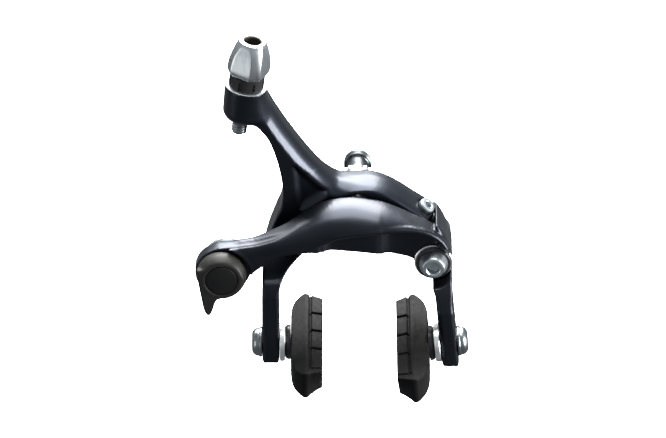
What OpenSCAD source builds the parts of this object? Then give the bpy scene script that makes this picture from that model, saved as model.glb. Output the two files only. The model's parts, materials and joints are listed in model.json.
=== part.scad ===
// Dual-pivot side-pull rim brake caliper for a bicycle.
// Millimetres. Origin on the mounting-bolt axis at the face that meets the fork.
// +Z up, -Y towards the front of the caliper, +X towards the side-pivot arm.

/* [Mounting bolt] */
// Diameter of the mounting bolt
bolt_d = 6; // [5.8:0.05:6]
// Length of bolt behind the fork face
bolt_tail = 12.8; // [12:0.1:12.8]
// Length of the sleeve nut in front of its flange
sleeve_len = 9.7; // [8:0.1:9.7]
// Diameter of the serrated fork washer
fork_washer_d = 16.4; // [14:0.2:17]

/* [Arms] */
// Distance the front arm's crown stands in front of the fork face
crown_front = 33; // [32:0.5:34]
// Outward lean of the right leg in degrees
leg_lean = 5.5; // [4.5:0.5:6]
// Radius of the side-pivot boss
side_boss_r = 6.75; // [6:0.05:6.9]

/* [Shoes] */
// Length of a brake shoe in front of its bolt
shoe_front = 29.5; // [26:0.5:30]
// Length of a brake shoe behind its bolt
shoe_rear = 25; // [22:0.5:25]
// Height of a brake shoe
shoe_h = 10.4; // [9:0.1:11]
// Thickness of a brake shoe's rubber
shoe_t = 11.4; // [10.6:0.1:12]
// Length of the height slot beyond the bolt
slot_travel = 10; // [8:0.5:10]

/* [Adjuster] */
// Largest radius of the adjuster knob
knob_r = 7.7; // [7.2:0.1:8]
// Number of flats round the knob
knob_flats = 4; // [4:1:6]

/* [Quick release] */
// Radius of the lever's round head
lever_r = 9; // [8.6:0.1:9.4]
// Offset of the cable bolt from the lever's axis
cam_offset = 2; // [1:0.25:2.25]

/* [Hidden] */
$fn = 64;

eps = 0.01;
running = 0.05;
bolt_r = bolt_d / 2;
hole_r = bolt_r + running;

// Stations along Y on the mounting bolt, from the fork forwards
fork_washer_t = 2.2;
bridge_back = -2.25;
bridge_front = -5.4;
hub_back = -6.05;
nut_front = 2.5;
hub_front = -18;
hub_r = 10;
nose_front = -11.6;
bushing_r = 4.5;
counterbore_y = -14;
counterbore_r = 6.05;
arm_back = -19;

// Side pivot
side_x = 27;
side_z = -18;
side_boss_front = -24.1;

// Anchor end of the front arm
anchor_x = -48.7;
anchor_z = -18.6;
anchor_r = 9.5;
anchor_back = -25.5;
anchor_front = -30.8;
anchor_recess_r = 10.4;
lever_back = -31.1;
bush_r = 6;
bush_front = -33.6;

// Adjuster boss on the rear arm
adj_x = -39.75;
adj_y = -16;
adj_z = 50.3;
adj_lean = 8;
adj_boss_r = 7.55;
adj_boss_h = 13.8;
boss_upright = 3.5;
stud_r = 2.9;
collar_r = 6.35;
screw_r = 1.5;
screw_head_r = 2.9;
screw_head_h = 3.4;
ferrule_r = 3.2;
ferrule_depth = 6;
knob_base = 5;
knob_top = 18.3;

// Shoe bolt stations: across the leg (local +X points at the rim)
leg_t = 6.2;
shoe_y = -29;
shoe_z = -49;
left_leg_foot = -54.8;
right_shoe_z = shoe_z + 0.1;
right_leg_drop = 7.8;
right_shoe_pitch = 2.3;
left_leg_x = -31.2;
right_leg_x = 32.73;
cup_t = 2;
dome_t = 1.9;
shoe_nut_t = 3.7;
shoe_nut_r = 5.5;
cup_r = 7;

// Link between the arms
nose_x = 25;
nose_z = -6.5;
nose_r = 2.5;
link_angle = 27.8;

// ---------- helpers ----------

// Catmull-Rom point between p1 and p2
function spline_point(p0, p1, p2, p3, t) =
    0.5 * (2 * p1 + (p2 - p0) * t + (2 * p0 - 5 * p1 + 4 * p2 - p3) * t * t
        + (3 * p1 - p0 - 3 * p2 + p3) * t * t * t);

// A smooth open curve through the points, with n steps between neighbours
function smooth(pts, n = 3) =
    let (last = len(pts) - 1)
    concat([for (i = [0 : last - 1], k = [0 : n - 1])
        spline_point(pts[max(i - 1, 0)], pts[i], pts[i + 1], pts[min(i + 2, last)], k / n)],
        [pts[last]]);

// Lowers a curve by drop, fading to nothing between two X stations
function lowered(pts, drop, x0, x1) =
    [for (p = pts) [p.x, p.y - drop * min(1, max(0, (x1 - p.x) / (x1 - x0)))]];

// Cylinder along Y between two stations
module rod_y(r, y0, y1, n = $fn) {
    translate([0, y0, 0]) rotate([-90, 0, 0]) cylinder(h = y1 - y0, r = r, $fn = n);
}

module ring_y(r_out, r_in, y0, y1) {
    difference() {
        rod_y(r_out, y0, y1);
        rod_y(r_in, y0 - 1, y1 + 1);
    }
}

// Cylinder along X between two stations
module rod_x(r, x0, x1, n = $fn) {
    translate([x0, 0, 0]) rotate([0, 90, 0]) cylinder(h = x1 - x0, r = r, $fn = n);
}

// Outline in X and Z given thickness between two Y stations
module slab(y0, y1) {
    translate([0, y1, 0]) rotate([90, 0, 0]) linear_extrude(y1 - y0) children();
}

// Outline in Y and Z given thickness between two X stations
module side_slab(x0, x1) {
    translate([x0, 0, 0]) rotate([90, 0, 90]) linear_extrude(x1 - x0) children();
}

module at_side() { translate([side_x, 0, side_z]) children(); }
module at_anchor() { translate([anchor_x, 0, anchor_z]) children(); }
module at_cable_bolt() { translate([anchor_x + cam_offset, 0, anchor_z]) children(); }
module at_adjuster() { translate([adj_x, adj_y, adj_z]) rotate([0, adj_lean, 0]) children(); }

module hex_socket_y(across, y0, y1) {
    rod_y(across / sqrt(3), y0, y1, 6);
}

// ---------- mounting bolt and what stays with the fork ----------

// Shank, with short thread reliefs at the fork face and at the sleeve nut
module mounting_bolt() {
    relief_r = 2.6;
    color("silver") {
        rod_y(relief_r, -17, bolt_tail - 1);
        rod_y(bolt_r, -17.7, -1.2);
        rod_y(bolt_r, 0, nut_front - 0.1);
        rod_y(bolt_r, nut_front + 0.9, bolt_tail);
    }
}

// Washer with a toothed rim that bites against the fork crown
module fork_washer() {
    teeth = 24;
    color("silver") difference() {
        rod_y(fork_washer_d / 2, -fork_washer_t, 0);
        rod_y(hole_r, -fork_washer_t - 1, 1);
        for (i = [0 : teeth - 1])
            rotate([0, i * 360 / teeth, 0]) translate([fork_washer_d / 2, 0, 0])
                rod_y(0.45, -fork_washer_t - 1, 1, 4);
    }
}

// Recessed sleeve nut that clamps the fork crown from behind
module sleeve_nut() {
    flange_front = nut_front + sleeve_len;
    flange_t = 3.3;
    color("silver") difference() {
        union() {
            rod_y(4, nut_front, flange_front + eps);
            rod_y(5, flange_front, flange_front + flange_t);
        }
        rod_y(hole_r, nut_front - 1, bolt_tail + 0.2);
        hex_socket_y(5, bolt_tail + 0.1, flange_front + flange_t + 1);
    }
}

// Steel plate that holds the side pivot at a fixed distance from the centre
module pivot_bridge() {
    end_r = 6.6;
    centre_r = 8;
    span = norm([side_x, side_z]);
    color("dimgray") difference() {
        union() {
            rod_y(centre_r, bridge_front, bridge_back);
            at_side() rod_y(end_r, bridge_front, bridge_back);
            slab(bridge_front, bridge_back) rotate(atan2(side_z, side_x))
                polygon([[0, centre_r - 0.3], [span, end_r - 0.1], [span, 0.1 - end_r], [0, 0.3 - centre_r]]);
            // lug that anchors the return spring
            translate([-10, bridge_front, -16.5]) cube([8, bridge_back - bridge_front, 11]);
        }
        rod_y(hole_r, -8, 0);
        at_side() rod_y(hole_r, -8, 0);
    }
}

module rear_thrust_washer() {
    color("silver") ring_y(6.8, hole_r, hub_back + running, bridge_front - running);
}

module front_thrust_washer() {
    color("silver") ring_y(counterbore_r - 0.15, hole_r, counterbore_y - 0.75, counterbore_y - running);
}

module centre_nut() {
    color("silver") difference() {
        rod_y(10 / sqrt(3), -17.7, counterbore_y - 0.8, 6);
        rod_y(hole_r, -19, -13);
    }
}

// ---------- side pivot ----------

module side_pivot_bolt() {
    head_front = -29.7;
    head_back = 25.95;
    color("silver") at_side() difference() {
        union() {
            rotate([90, 0, 0]) rotate_extrude()
                polygon([[0, head_back], [5.2, head_back], [4.15, -head_front - 0.6], [3.7, -head_front],
                    [0, -head_front]]);
            rod_y(bolt_r, -26, bridge_back);
        }
        hex_socket_y(4, head_front - 1, head_front + 2.6);
    }
}

module side_washer() {
    color("silver") at_side() ring_y(6.9, hole_r, -24.95, side_boss_front - running);
}

module side_ring() {
    color("black") at_side() ring_y(6.3, hole_r, -25.9, -25);
}

module side_thrust_washer() {
    color("silver") at_side() ring_y(6.2, hole_r, hub_back + running, bridge_front - running);
}

// ---------- rear arm: centre pivot, adjuster boss, left leg ----------

rear_left_edge = [[-37, 42], [-36.4, 35], [-32.1, 29.9], [-30.2, 25], [-28.3, 17.3], [-26.9, 8.5],
    [-27.3, 1.5], [-29.1, -3.4], [-31.6, -10.5], [-33.7, -18], [-34.3, -26],
    [-34.3, left_leg_foot]];
rear_right_edge = [[-28.1, left_leg_foot], [-28.1, -26], [-27.4, -22.4], [-25.3, -19.5], [-22, -17.1],
    [-18, -15],
    [-13, -13.6], [-7, -12.6], [1, -11.8], [7, -9.6], [13, -8.4], [20, -8.6], [nose_x, nose_z - nose_r]];
rear_top_edge = [[nose_x + 1.6, nose_z + 2], [24, -1.6], [20, 1.2], [14.5, 5.2], [9.6, 8], [4.5, 9.5],
    [-1.5, 9.4], [-6.5, 9.6], [-10.8, 12], [-14.6, 15.8], [-19, 21.8], [-25, 31.2], [-29.6, 39.6],
    [-32.5, 45.6], [-34, 49.2]];

// One slice of the rear arm; over the right limb its top is lower towards the front
module rear_slice(y0, y1, drop) {
    top = lowered(smooth(rear_top_edge), drop, 3, -9);
    slab(y0, y1) polygon(concat(smooth(rear_left_edge), smooth(rear_right_edge), top));
}

// Side view of the rear arm: back face, forward jog and leg
module rear_profile() {
    back = [[-9.5, 50], [-7.5, 34], [hub_back, 16], [hub_back, -10], [-9.5, -18], [-23, -31],
        [-23, left_leg_foot]];
    front = [[-35, left_leg_foot], [-35, -25.5], [-33.2, -22], [-18.8, -13.2], [hub_front, -10],
        [hub_front, 12],
        [-20, 32], [-22, 50]];
    polygon(concat(back, front));
}

// Recess between the ridge, the left edge and the lower rim of the web
module web_pocket() {
    corners = [[-22.3, 17], [-20.8, 1.4], [-19.4, 0.6], [-11.5, 6.6], [-15.2, 10.4]];
    pocket_depth = 2.4;
    slab(hub_front - 1, hub_front + pocket_depth) polygon(smooth(concat(corners, [corners[0]])));
}

// Height slot for the shoe bolt, in a frame whose +Z runs up the leg
module leg_slot(x0, x1) {
    slot_r = bolt_r + 0.1;
    rod_x(slot_r, x0, x1);
    translate([0, 0, slot_travel]) rod_x(slot_r, x0, x1);
    translate([x0, -slot_r, 0]) cube([x1 - x0, 2 * slot_r, slot_travel]);
}

// Boss under the adjuster: its wall stands more upright than the stud
module adjuster_boss() {
    at_adjuster() intersection() {
        rotate([0, -boss_upright, 0]) translate([0, 0, -adj_boss_h])
            cylinder(h = adj_boss_h + 2, r = adj_boss_r);
        translate([-20, -20, -40]) cube([40, 40, 40]);
    }
}

module rear_arm() {
    color("midnightblue") difference() {
        union() {
            intersection() {
                union() for (s = [[-10, 0, 0], [-14, -10, 0.8], [-36, -14, 1.6]])
                    rear_slice(s[0], s[1] + eps, s[2]);
                side_slab(-60, 60) rear_profile();
            }
            translate([nose_x, 0, nose_z]) rod_y(nose_r, nose_front, hub_back);
            rod_y(hub_r, hub_front, hub_back);
            adjuster_boss();
        }
        rod_y(bushing_r, -20, 0);
        rod_y(counterbore_r, -20, counterbore_y);
        web_pocket();
        at_adjuster() translate([0, 0, -30]) cylinder(h = 60, r = stud_r + 0.1);
        translate([left_leg_x, shoe_y, shoe_z]) leg_slot(-8, 8);
        screw_frame() {
            translate([0, 0, -10]) cylinder(h = 20, r = screw_r + running);
            translate([0, 0, -screw_head_h / 2 - 0.1]) cylinder(h = 8, r = screw_head_r + 0.4);
        }
        spring_pad_frame() rod_y(1.55, -3, 1);
    }
}

module centre_bushing() {
    color("goldenrod") ring_y(bushing_r, hole_r, counterbore_y, hub_back);
}

// Nylon block on the back of the left leg where the return spring bears
module spring_pad_frame() { translate([-23.5, hub_back, -7]) children(); }

module spring_pad() {
    color("black") spring_pad_frame() {
        rod_y(1.5, -2.5, 0.01);
        translate([-3.5, 0, -0.6]) cube([7, 2.8, 5]);
    }
}

// ---------- cable adjuster ----------

module adjuster_collar() {
    color("black") at_adjuster() difference() {
        translate([0, 0, running]) cylinder(h = knob_base - 2 * running, r = collar_r);
        translate([0, 0, -1]) cylinder(h = 8, r = stud_r + running);
        for (a = [0 : 45 : 315])
            rotate(a + 10) translate([collar_r, 0, 2.4]) cube([0.7, 1.1, 2], center = true);
    }
}

module knob_flat(angle) {
    lean_in = 9.5;
    rotate(angle) translate([knob_r - 0.9, 0, knob_base])
        rotate([0, -lean_in, 0]) translate([0, -knob_r, -4]) cube([6, 2 * knob_r, 24]);
}

module adjuster_knob() {
    color("lightgray") at_adjuster() difference() {
        rotate_extrude() polygon([[stud_r + running, knob_base], [6.5, knob_base], [knob_r, knob_base + 2],
            [knob_r - 0.1, knob_base + 4.5], [knob_r - 0.9, knob_base + 8], [knob_r - 2.2, knob_top - 1.6],
            [5, knob_top - 0.4], [4.6, knob_top], [ferrule_r, knob_top],
            [ferrule_r, knob_top - ferrule_depth], [stud_r + running, knob_top - ferrule_depth]]);
        for (i = [0 : knob_flats - 1]) knob_flat(i * 360 / knob_flats - 117);
    }
}

// Hollow threaded stud: its top is the casing seat, its lower end stands below the boss
module adjuster_stud() {
    color("silver") at_adjuster() difference() {
        translate([0, 0, -19.3]) cylinder(h = 19.3 + knob_top - ferrule_depth, r = stud_r);
        translate([0, 0, -30]) cylinder(h = 60, r = 1.1);
    }
}

// ---------- centring screw on the rear arm's nose ----------

// The origin is the middle of the screw's head
module screw_frame() { translate([24.3, -12.4, -2.4]) rotate([16, 38, 0]) children(); }

module centring_screw() {
    color("silver") screw_frame() difference() {
        union() {
            translate([0, 0, -7.5]) cylinder(h = 6, r = screw_r);
            translate([0, 0, -screw_head_h / 2]) cylinder(h = screw_head_h, r = screw_head_r);
        }
        translate([0, 0, 0.2]) cylinder(h = 3, r = 2.5 / sqrt(3), $fn = 6);
    }
}

// ---------- front arm: side pivot, anchor end, right leg ----------

front_top_edge = [[-50, -9.2], [-42.8, -7.6], [-36.5, -6.5], [-31.3, -5], [-25.8, -2.9], [-20, 0.4],
    [-13.1, 4], [-6.8, 5.6], [-0.4, 6], [7.9, 4.6], [14.5, 1.9], [20.75, -0.9], [25.9, -3.6], [29.4, -6.4],
    [31.8, -10.6]];
front_lower_edge = [[25, -22], [19.5, -16.8], [13.9, -15], [8.8, -13.1], [3.7, -12], [-3.2, -11.5],
    [-10, -10.8], [-17, -9.8], [-25.3, -10.6], [-31.3, -13.5], [-36.3, -17], [-40.2, -21], [-44, -26]];
front_bead_edge = [[32.7, -14], [31, -10.6], [28.25, -7.6], [24.2, -5.4], [19, -4], [12.2, -3],
    [5.4, -2.6], [-7.25, -3.4], [-12, -5.6], [-17, -7.7], [-25.3, -10], [-31.3, -13.3], [-36.3, -16.9],
    [-40.2, -21], [-44, -26]];
leg_outer_edge = [[31.8, -10.6], [33.1, -16], [33.7, -22], [33.88, -28.5]];
leg_inner_edge = [[27.65, -28.5], [26.8, -25.6], [25, -22]];

// Plan view of the front arm: deep over the crown, thin at the anchor end
module front_plan() {
    polygon([[-60, anchor_back], [-38, anchor_back], [-14, arm_back], [40, arm_back],
        [40, -28.6], [27, -29.2], [16, -31.2], [5, -crown_front], [-60, -crown_front]]);
}

// One slice of the crown, with its top edge lowered to follow the rounding
module crown_slice(y0, y1, drop) {
    lower = y1 > side_boss_front + 1 ? front_lower_edge : front_bead_edge;
    slab(y0, y1) polygon(concat(lowered(smooth(front_top_edge), drop, 20, 30), smooth(lower)));
}

module crown() {
    slices = [[side_boss_front, arm_back, 0], [-27.5, side_boss_front, 0.8], [-30.5, -27.5, 2],
        [-crown_front, -30.5, 3.6]];
    intersection() {
        union() for (s = slices) crown_slice(s[0], s[1] + eps, s[2]);
        translate([0, 0, -40]) linear_extrude(60) front_plan();
    }
}

module leg_profile() {
    polygon([[arm_back, -8], [arm_back, -22], [-23, -34], [-23, -59], [-35, -59], [-35, -38], [-33, -27],
        [-29.2, -17], [-28.6, -8]]);
}

// Bottom corners of the right leg, on its outer (1) and inner (-1) side
function leg_foot(side) = [
    right_leg_x + side * leg_t / 2 / cos(leg_lean) + right_leg_drop * tan(leg_lean),
    right_shoe_z - right_leg_drop ];

module right_leg() {
    intersection() {
        slab(-36, 0) polygon(concat(smooth(leg_outer_edge), [for (side = [1, -1]) leg_foot(side)],
            smooth(leg_inner_edge)));
        side_slab(0, 60) leg_profile();
    }
}

// Shoulder that reaches back beside the rear arm's nose
module shoulder() {
    slab(-24, -6.8) polygon([[28.7, -4.6], [29.6, -5.2], [31.9, -10.6], [33.1, -16], [33.6, -21], [29, -21],
        [24, -14], [27.4, -9.4]]);
}

module front_arm() {
    color("slategray") difference() {
        union() {
            crown();
            right_leg();
            shoulder();
            at_side() rod_y(side_boss_r, side_boss_front, hub_back);
            at_anchor() rod_y(anchor_r, anchor_front, anchor_back);
        }
        at_side() rod_y(bushing_r, -26, 0);
        // recess in front of the side-pivot boss, for the washers and the bolt head
        at_side() rod_y(7.3, -40, side_boss_front);
        at_anchor() rod_y(bush_r + running, -40, 0);
        // round recess that the lever's head turns in
        at_anchor() rod_y(anchor_recess_r, -40, anchor_front);
        at_right_shoe() leg_slot(-8, 8);
        slider_frame() translate([-1.2, -2.3, -3.4]) cube([1.2, 4.6, 5]);
    }
}

module side_bushing() {
    color("goldenrod") at_side() ring_y(bushing_r, hole_r, side_boss_front, hub_back);
}

// Frame on the contact face: +X along the push from the rear arm's nose
module slider_frame() {
    reach = nose_r + 0.05 + 1.2;
    translate([nose_x + reach * cos(link_angle), -9.3, nose_z + reach * sin(link_angle)])
        rotate([0, -link_angle, 0]) children();
}

module slider_pad() {
    color("dimgray") slider_frame() translate([-1.2, -2.3, -3.4]) cube([1.2, 4.6, 5]);
}

// ---------- quick release and cable anchor ----------

module quick_release_lever() {
    beak = [[-8.6, 2.5], [-8.4, 0], [-7.9, -4], [-7.2, -7.9], [-6.6, -11.4], [-5.9, -13.6], [-4.6, -14.7],
        [-3.6, -13.6], [-3, -12], [-2.2, -9.4], [-1.2, -8], [2.4, -6.3], [6.2, -3]];
    face = -36.9;
    face_r = 7.4;
    dome_start = -34.6;
    color("black") at_anchor() difference() {
        union() {
            rotate([90, 0, 0]) rotate_extrude()
                polygon([[0, -lever_back], [lever_r, -lever_back], [lever_r, -dome_start], [face_r, -face],
                    [0, -face]]);
            slab(face, -34.2) polygon(smooth(beak));
        }
        rod_y(5.7, -38, -35.9);
        rod_y(bush_r + running, bush_front - running, -30);
        translate([cam_offset, 0, 0]) hex_socket_y(10.6, -35.3, -33);
    }
}

module lever_cap() {
    color("dimgray") at_anchor() rod_y(5.6, -37.1, -35.9);
}

// Eccentric bush that turns with the lever inside the arm
module cam_bush() {
    color("silver") difference() {
        at_anchor() rod_y(bush_r, bush_front, anchor_back);
        at_cable_bolt() rod_y(hole_r, -40, 0);
    }
}

module cable_bolt() {
    color("silver") at_cable_bolt() {
        rod_y(bolt_r, -33.8, -15);
        rod_y(4.9, -34.9, -33.75, 6);
    }
}

module cable_washer() {
    color("silver") at_cable_bolt() ring_y(7.2, hole_r, anchor_back + 0.1, -20.3);
}

// Clamp plate with a hooked tab that keeps it from turning
module cable_plate() {
    color("silver") difference() {
        at_cable_bolt() union() {
            rod_y(7.9, -20.25, -18.6);
            translate([5, -20.25, -3]) cube([3.9, 1.65, 6]);
        }
        at_cable_bolt() rod_y(hole_r, -30, 0);
        // groove the inner cable lies in
        at_cable_bolt() translate([-4.1, -20.3, -20]) cylinder(h = 40, r = 0.8);
    }
}

module cable_nut() {
    color("silver") at_cable_bolt() difference() {
        rod_y(10 / sqrt(3), -18.55, -14);
        rod_y(hole_r, -30, 0);
        for (a = [0 : 60 : 300]) rotate([0, a, 0]) translate([5, -20, -8]) cube([4, 8, 16]);
    }
}

// ---------- shoes ----------

module at_left_shoe() { translate([left_leg_x, shoe_y, shoe_z]) children(); }
module at_right_shoe() {
    translate([right_leg_x, shoe_y, right_shoe_z]) rotate([0, -leg_lean, 0]) mirror([1, 0, 0]) children();
}

// Stations along the shoe bolt, measured from the middle of the leg towards the rim
leg_half = leg_t / 2;
cup_x = leg_half + running;
dome_x = cup_x + cup_t + running;
shoe_x = dome_x + dome_t + running;
plate_t = 2;
plate_x = shoe_x + 2;

// Rubber block: tapered nose, back rib and water grooves across the braking face
module shoe_block() {
    face = shoe_x + shoe_t;
    plan = [[shoe_x, -16], [shoe_x + 1.6, -shoe_front + 3.8], [shoe_x + 4.4, -shoe_front + 0.5],
        [shoe_x + 6.4, -shoe_front], [face, -shoe_front + 1.8], [face, shoe_rear - 3.8],
        [shoe_x + 5, shoe_rear], [shoe_x + 0.9, shoe_rear - 4], [shoe_x, shoe_rear - 12]];
    grooves = [-13.2, -1.4, 10.3];
    groove_slant = -15;
    scoop = [[shoe_x + 7.4, -shoe_front - 1], [face + 1, -shoe_front + 7.6], [face + 1, -shoe_front - 1]];
    difference() {
        union() {
            translate([0, 0, -shoe_h / 2]) linear_extrude(shoe_h) intersection() {
                polygon(plan);
                translate([face - 5, -shoe_front]) square([5, shoe_front + shoe_rear]);
            }
            translate([0, 0, -shoe_h / 2 + 0.6]) linear_extrude(shoe_h - 1.2) polygon(plan);
        }
        for (y = grooves)
            translate([face - 3.4, y, -shoe_h]) rotate(groove_slant) cube([4, 1.1, 2 * shoe_h]);
        // hollow under the front tip, on the rim side
        translate([0, 0, -shoe_h]) linear_extrude(shoe_h) polygon(scoop);
        // pocket for the steel plate, and the hole for the stud
        shoe_plate();
        rod_x(bolt_r, 0, plate_x + 0.1);
    }
}

module shoe_plate() {
    translate([plate_x, -9, -3.6]) cube([plate_t, 18, 7.2]);
}

module shoe_stud() {
    rod_x(bolt_r, -leg_half - 1.5, plate_x);
}

// Convex washer against the shoe, in the cup of the washer next to the leg
module dome_washer() {
    translate([dome_x, 0, 0]) rotate([0, 90, 0]) rotate_extrude()
        polygon([[hole_r, -0.8], [4.2, -0.8], [6.1, 0.4], [6.3, dome_t], [hole_r, dome_t]]);
}

module cup_washer() {
    translate([cup_x, 0, 0]) rotate([0, 90, 0]) rotate_extrude()
        polygon([[hole_r, 0], [cup_r, 0], [cup_r, cup_t], [6.3, cup_t], [4.3, 0.9], [hole_r, 0.9]]);
}

module shoe_nut() {
    back = -leg_half - running;
    difference() {
        rotate([0, -90, 0]) rotate_extrude()
            polygon([[0, -back], [shoe_nut_r, -back], [shoe_nut_r, 1 - back], [shoe_nut_r - 0.4, 1.3 - back],
                [shoe_nut_r - 0.5, 2.4 - back], [4.1, shoe_nut_t - back], [0, shoe_nut_t - back]]);
        rod_x(hole_r, back - 1.6, back + 1);
        translate([back - 2.0, 0, 0]) rotate([0, -90, 0]) cylinder(h = 3, r = 5 / sqrt(3), $fn = 6);
    }
}

module left_shoe() { color("dimgray") at_left_shoe() shoe_block(); }
module left_shoe_plate() { color("silver") at_left_shoe() shoe_plate(); }
module left_shoe_stud() { color("silver") at_left_shoe() shoe_stud(); }
module left_dome_washer() { color("black") at_left_shoe() dome_washer(); }
module left_cup_washer() { color("silver") at_left_shoe() cup_washer(); }
module left_shoe_nut() { color("silver") at_left_shoe() shoe_nut(); }
module right_shoe() { color("dimgray") at_right_shoe() rotate([right_shoe_pitch, 0, 0]) shoe_block(); }
module right_shoe_plate() {
    color("silver") at_right_shoe() rotate([right_shoe_pitch, 0, 0]) shoe_plate();
}
module right_shoe_stud() { color("silver") at_right_shoe() shoe_stud(); }
module right_dome_washer() { color("black") at_right_shoe() dome_washer(); }
module right_cup_washer() { color("silver") at_right_shoe() cup_washer(); }
module right_shoe_nut() { color("silver") at_right_shoe() shoe_nut(); }

// ---------- return spring ----------

// Straight length of wire, carried past both ends far enough to close the bends
module wire(a, b, r) {
    d = b - a;
    over = 0.35;
    translate(a) rotate([0, acos(d.z / norm(d)), atan2(d.y, d.x)])
        translate([0, 0, -over]) cylinder(h = norm(d) + 2 * over, r = r);
}

// Wire from the lug on the bridge to the pad behind the left leg; every other length is a hair thinner
module return_spring() {
    wire_r = 0.9;
    thinner = 0.04;
    wire_y = -4.15;
    path = [[-3, -17.9], [-10.5, -17.9], [-14.5, -13.8], [-21, -8.6], [-28, -8.6]];
    color("silver") for (i = [0 : len(path) - 2])
        wire([path[i].x, wire_y, path[i].y], [path[i + 1].x, wire_y, path[i + 1].y],
            wire_r - thinner * (i % 2));
}

mounting_bolt();
fork_washer();
sleeve_nut();
pivot_bridge();
rear_thrust_washer();
front_thrust_washer();
centre_nut();
side_pivot_bolt();
side_washer();
side_ring();
side_thrust_washer();
return_spring();
rear_arm();
centre_bushing();
spring_pad();
adjuster_collar();
adjuster_knob();
adjuster_stud();
centring_screw();
front_arm();
side_bushing();
slider_pad();
quick_release_lever();
lever_cap();
cam_bush();
cable_bolt();
cable_washer();
cable_plate();
cable_nut();
left_shoe();
left_shoe_plate();
left_shoe_stud();
left_dome_washer();
left_cup_washer();
left_shoe_nut();
right_shoe();
right_shoe_plate();
right_shoe_stud();
right_dome_washer();
right_cup_washer();
right_shoe_nut();
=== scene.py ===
"""Rim brake caliper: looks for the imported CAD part, in the part's own frame."""

import json
import math

import bmesh
import bpy
import numpy as np
from mathutils import Matrix, Vector


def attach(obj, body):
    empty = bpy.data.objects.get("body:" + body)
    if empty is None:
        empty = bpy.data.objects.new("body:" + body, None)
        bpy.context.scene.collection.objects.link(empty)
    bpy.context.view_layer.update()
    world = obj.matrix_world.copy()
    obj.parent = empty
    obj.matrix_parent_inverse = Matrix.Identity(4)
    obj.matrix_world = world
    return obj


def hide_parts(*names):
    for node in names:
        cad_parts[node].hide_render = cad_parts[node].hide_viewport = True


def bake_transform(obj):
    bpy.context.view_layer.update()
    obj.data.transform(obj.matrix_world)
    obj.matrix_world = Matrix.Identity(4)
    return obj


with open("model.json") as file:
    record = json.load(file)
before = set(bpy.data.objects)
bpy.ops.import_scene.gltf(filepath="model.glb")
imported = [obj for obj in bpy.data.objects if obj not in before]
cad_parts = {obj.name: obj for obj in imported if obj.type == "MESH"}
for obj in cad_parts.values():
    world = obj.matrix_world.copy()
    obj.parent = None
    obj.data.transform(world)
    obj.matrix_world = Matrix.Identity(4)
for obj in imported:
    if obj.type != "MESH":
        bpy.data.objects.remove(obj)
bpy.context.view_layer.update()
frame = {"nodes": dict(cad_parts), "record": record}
MM = 0.001

# ---------- places on the part, in millimetres ----------

SIDE_X, SIDE_Z = 27.0, -18.0
ANCHOR_X, ANCHOR_Z = -48.7, -18.6
CAM_OFFSET = 2.0
ADJUSTER = Vector((-39.75, -16.0, 50.3))
ADJUSTER_LEAN = math.radians(8)
ADJUSTER_UP = Vector((math.sin(ADJUSTER_LEAN), 0, math.cos(ADJUSTER_LEAN)))
BOSS_R, BOSS_H = 7.55, 13.8
STUD_LOW, STUD_TOP, STUD_R = -19.3, 12.3, 2.88
BUSHING_R, RECESS_R = 4.5, 6.05
LEG_LEAN = math.radians(5.5)
LEFT_SHOE = Vector((-31.2, -29.0, -49.0))
RIGHT_SHOE = Vector((32.73, -29.0, -48.9))
RIGHT_PITCH = math.radians(2.3)
SLOT_R, SHOE_TRAVEL = 3.1, 10.0
SCREW = Vector((24.3, -12.4, -2.4))
SCREW_LEAN, SCREW_TILT = math.radians(38), math.radians(16)
SCREW_UP = Vector((math.cos(SCREW_TILT) * math.sin(SCREW_LEAN), -math.sin(SCREW_TILT),
                   math.cos(SCREW_TILT) * math.cos(SCREW_LEAN)))


# ---------- curves ----------


def spline(points, steps=6):
    """Catmull-Rom curve through the points."""
    pts = np.array(points, float)
    padded = np.vstack([pts[0], pts, pts[-1]])
    out = []
    for i in range(len(pts) - 1):
        p0, p1, p2, p3 = padded[i : i + 4]
        for t in np.linspace(0, 1, steps, endpoint=False):
            square = (2 * p0 - 5 * p1 + 4 * p2 - p3) * t**2
            cube = (3 * p1 - p0 - 3 * p2 + p3) * t**3
            out.append(0.5 * (2 * p1 + (p2 - p0) * t + square + cube))
    out.append(pts[-1])
    return np.array(out)


def curve_over(points):
    """A smooth function of x through the points, usable on whole grids."""
    line = spline(sorted(points), 10)
    return lambda x: np.interp(x, line[:, 0], line[:, 1])


def ease(value, start, end):
    """Smooth step from 0 at start to 1 at end."""
    t = np.clip((value - start) / (end - start), 0, 1)
    return t * t * (3 - 2 * t)


# ---------- signed-distance modelling, negative inside ----------


def round_join(a, b, radius):
    """Union with a concave fillet of the radius."""
    u, v = np.maximum(radius - a, 0), np.maximum(radius - b, 0)
    return np.maximum(radius, np.minimum(a, b)) - np.sqrt(u * u + v * v)


def round_meet(a, b, radius):
    """Intersection with a rounded edge of the radius."""
    u, v = np.maximum(radius + a, 0), np.maximum(radius + b, 0)
    return np.minimum(-radius, np.maximum(a, b)) + np.sqrt(u * u + v * v)


def outline_distance(u, v, outline):
    """Signed distance from each grid point (u, v) to a closed outline."""
    shape = np.broadcast(u, v).shape
    pu = np.broadcast_to(u, shape).astype(np.float32)
    pv = np.broadcast_to(v, shape).astype(np.float32)
    best = np.full(shape, 1e9, np.float32)
    inside = np.zeros(shape, bool)
    for (ax, ay), (bx, by) in zip(outline, np.roll(outline, -1, axis=0)):
        ex, ey = bx - ax, by - ay
        length = ex * ex + ey * ey
        if length < 1e-12:
            continue
        t = np.clip(((pu - ax) * ex + (pv - ay) * ey) / length, 0, 1)
        best = np.minimum(best, (pu - ax - t * ex) ** 2 + (pv - ay - t * ey) ** 2)
        if ay != by:
            crosses = (ay > pv) != (by > pv)
            inside ^= crosses & (pu < ex * (pv - ay) / ey + ax)
    return np.where(inside, -1, 1) * np.sqrt(best)


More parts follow.
